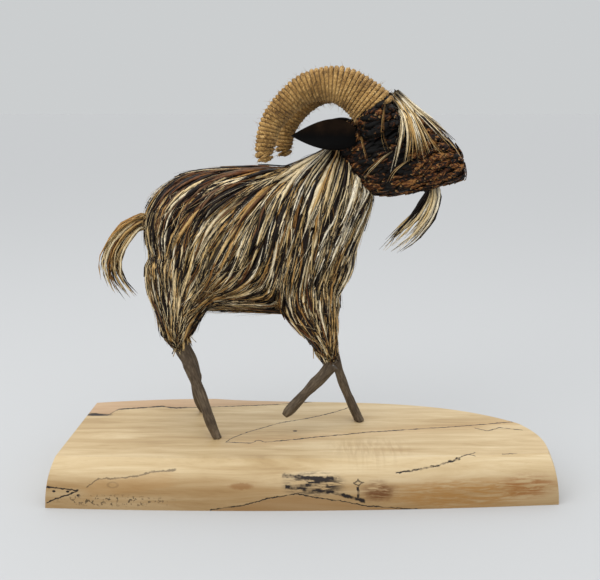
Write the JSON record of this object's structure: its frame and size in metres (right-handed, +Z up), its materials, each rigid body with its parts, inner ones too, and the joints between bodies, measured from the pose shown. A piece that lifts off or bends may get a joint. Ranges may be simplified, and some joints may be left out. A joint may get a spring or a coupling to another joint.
{
  "type": "feathered billy goat figure on a wooden slab",
  "caption": "Walking billy goat figure with a coat of hackle feathers, twine-wound horns, leather ears and stick legs on a spalted maple slab.",
  "frame": {"origin": "middle of the slab's flat underside, on the surface that it stands on", "axes": "+X the way the goat walks, along the slab's length; +Y to the goat's left, towards the slab's back edge; +Z up"},
  "size_m": [0.3344, 0.1383, 0.2776],
  "materials": {
    "maple": "pale spalted maple slab, sanded, with black zone lines and a live edge",
    "twig": "dark grey-brown peeled stick, matte",
    "carved_core": "plain carved wood under the coat",
    "padding": "wound tow padding under the coat",
    "dowel_wood": "plain birch dowel",
    "steel": "bare steel wire",
    "hackle": "long hackle feathers, cream and ginger with a black stripe along each middle",
    "mottled_feather": "short mottled brown and black game feathers",
    "pale_feather": "cream feathers with dark tips",
    "jute": "natural three-ply jute twine, wound turn against turn",
    "ear_leather": "near-black brown leather, matte with a soft sheen"
  },
  "bodies": {
    "root": {"base_slab": "maple", "foot_pins": "steel", "hind_leg_right": "twig", "hind_leg_left": "twig", "fore_leg_left": "twig", "raised_upper_stick": "twig", "raised_shank": "twig", "knee_pin": "steel", "torso_core": "carved_core", "neck_core": "carved_core", "head_core": "carved_core", "neck_dowel": "dowel_wood", "thigh_right_core": "padding", "thigh_left_core": "padding", "foreleg_right_core": "padding", "foreleg_left_core": "padding", "horn_core_right": "padding", "horn_core_left": "padding", "horn_wires": "steel", "horn_twine_right": "jute", "horn_twine_left": "jute", "ear_right": "ear_leather", "ear_left": "ear_leather", "rump_hackles": "hackle", "flank_hackles": "hackle", "shoulder_hackles": "hackle", "chest_hackles": "hackle", "neck_hackles": "hackle", "thigh_right_hackles": "hackle", "thigh_left_hackles": "hackle", "foreleg_right_hackles": "hackle", "foreleg_left_hackles": "hackle", "crown_feathers": "mottled_feather", "cheek_feathers": "mottled_feather", "muzzle_feathers": "mottled_feather", "forelock": "pale_feather", "beard": "pale_feather", "tail": "pale_feather"}
  },
  "joints": []
}
